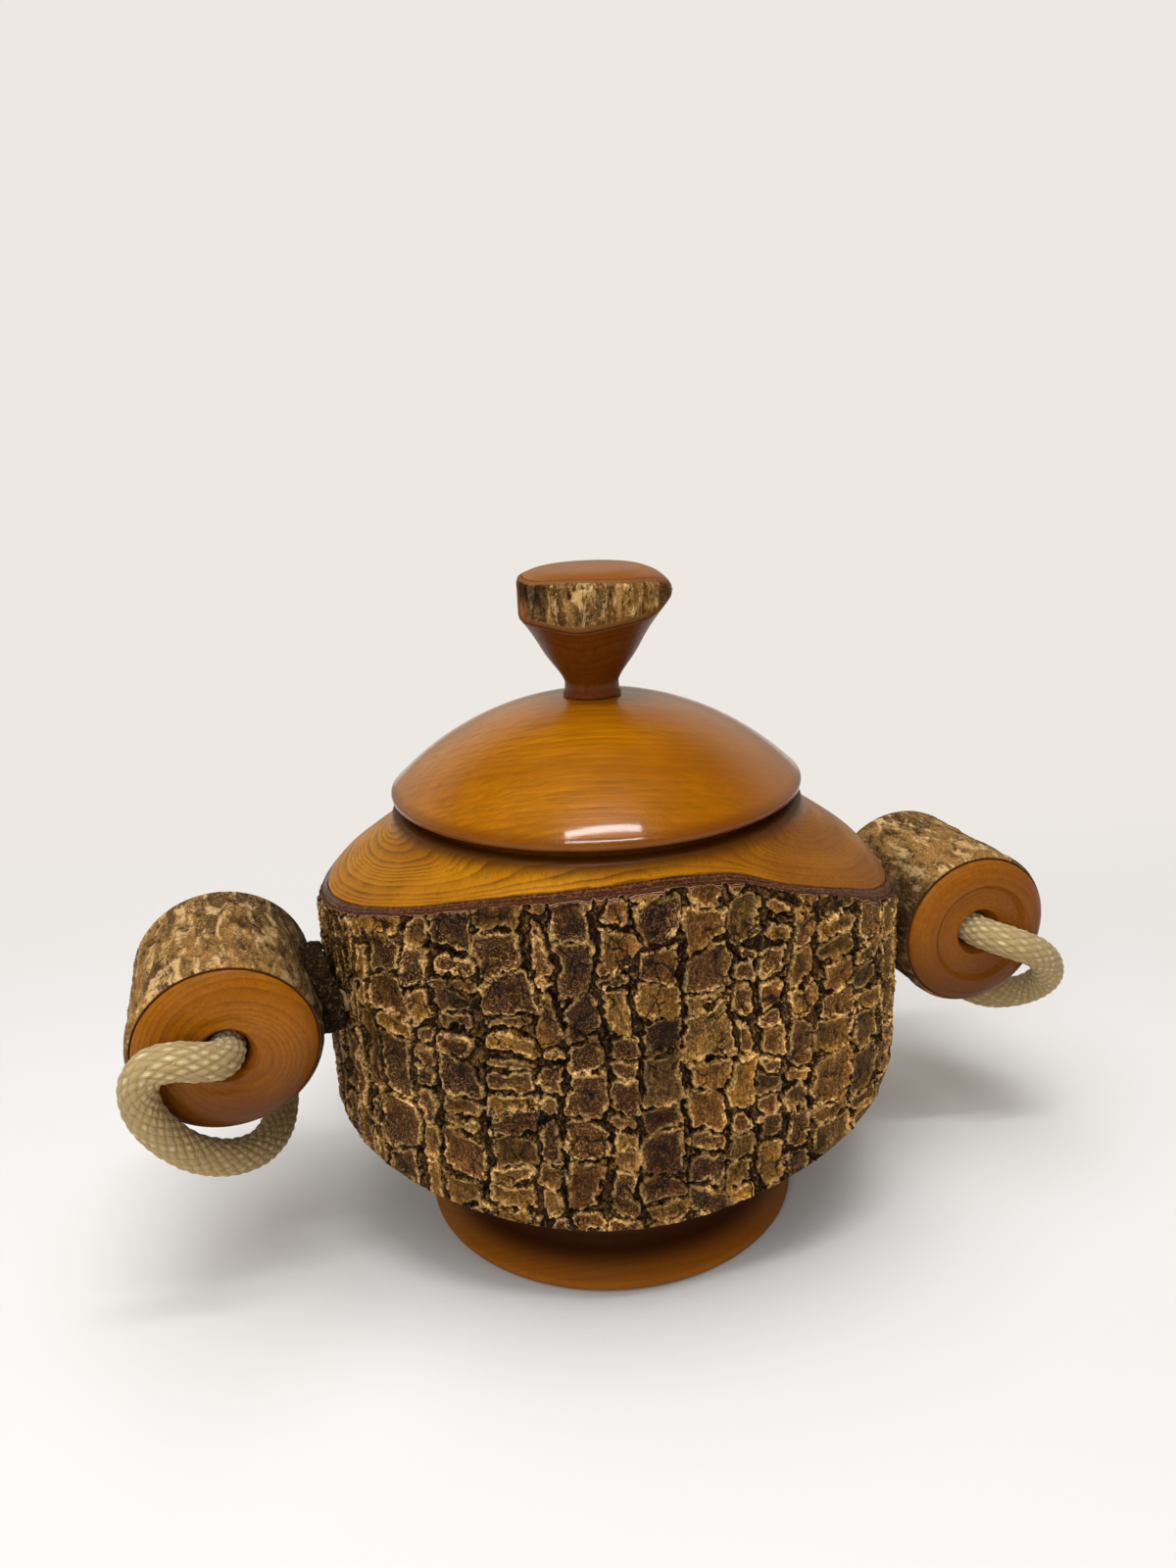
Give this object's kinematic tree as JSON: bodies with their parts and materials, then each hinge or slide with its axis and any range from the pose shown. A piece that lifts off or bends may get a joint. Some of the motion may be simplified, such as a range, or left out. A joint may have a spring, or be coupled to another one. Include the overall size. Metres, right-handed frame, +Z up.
{
  "type": "lidded wooden pot",
  "caption": "Lidded pot turned from a bark-edged log, with a domed lid, cone knob and branch-log handles that carry rope loops.",
  "frame": {"origin": "middle of the foot's flat underside, on the axis that the pot was turned about", "axes": "+X from the left handle to the right handle, +Z up, so -Y faces the viewer who sees the flat side of the log"},
  "size_m": [0.3503, 0.1711, 0.2383],
  "materials": {
    "pot_wood": "oiled and lacquered end grain, satin",
    "inner_bark": "dark inner bark, turned smooth and lacquered",
    "outer_bark": "rough plated bark, matt",
    "lid_wood": "glossy lacquer",
    "knob_wood": "satin lacquer",
    "knob_bark": "finely ridged tan bark",
    "handle_wood": "satin lacquer",
    "handle_bark": "flecked tan bark, matt",
    "glue_dust": "glue and sawdust, granular",
    "dowel_wood": "plain",
    "rope": "braided cord"
  },
  "bodies": {
    "pot": {"pot_body": "pot_wood", "pot_inner_bark": "inner_bark", "pot_outer_bark": "outer_bark", "left_handle_log": "handle_wood", "left_handle_bark": "handle_bark", "left_glue_bed": "glue_dust", "left_dowel_front": "dowel_wood", "left_dowel_rear": "dowel_wood", "right_handle_log": "handle_wood", "right_handle_bark": "handle_bark", "right_glue_bed": "glue_dust", "right_dowel_front": "dowel_wood", "right_dowel_rear": "dowel_wood"},
    "lid": {"lid": "lid_wood", "knob": "knob_wood", "knob_bark": "knob_bark"},
    "left_rope": {"left_rope_loop": "rope"},
    "right_rope": {"right_rope_loop": "rope"}
  },
  "joints": [
    {"name": "lid_lift", "type": "slide", "parent": "pot", "child": "lid", "axis": [0, 0, 1], "range_m": [0, 0.08]},
    {"name": "left_rope_swing", "type": "hinge", "parent": "pot", "child": "left_rope", "pos_m": [-0.1352, 0, 0.1], "axis": [0, 1, 0], "range_deg": [-10, 150]},
    {"name": "right_rope_swing", "type": "hinge", "parent": "pot", "child": "right_rope", "pos_m": [0.14089, 0, 0.0917], "axis": [0, -1, 0], "range_deg": [-40, 150]}
  ]
}
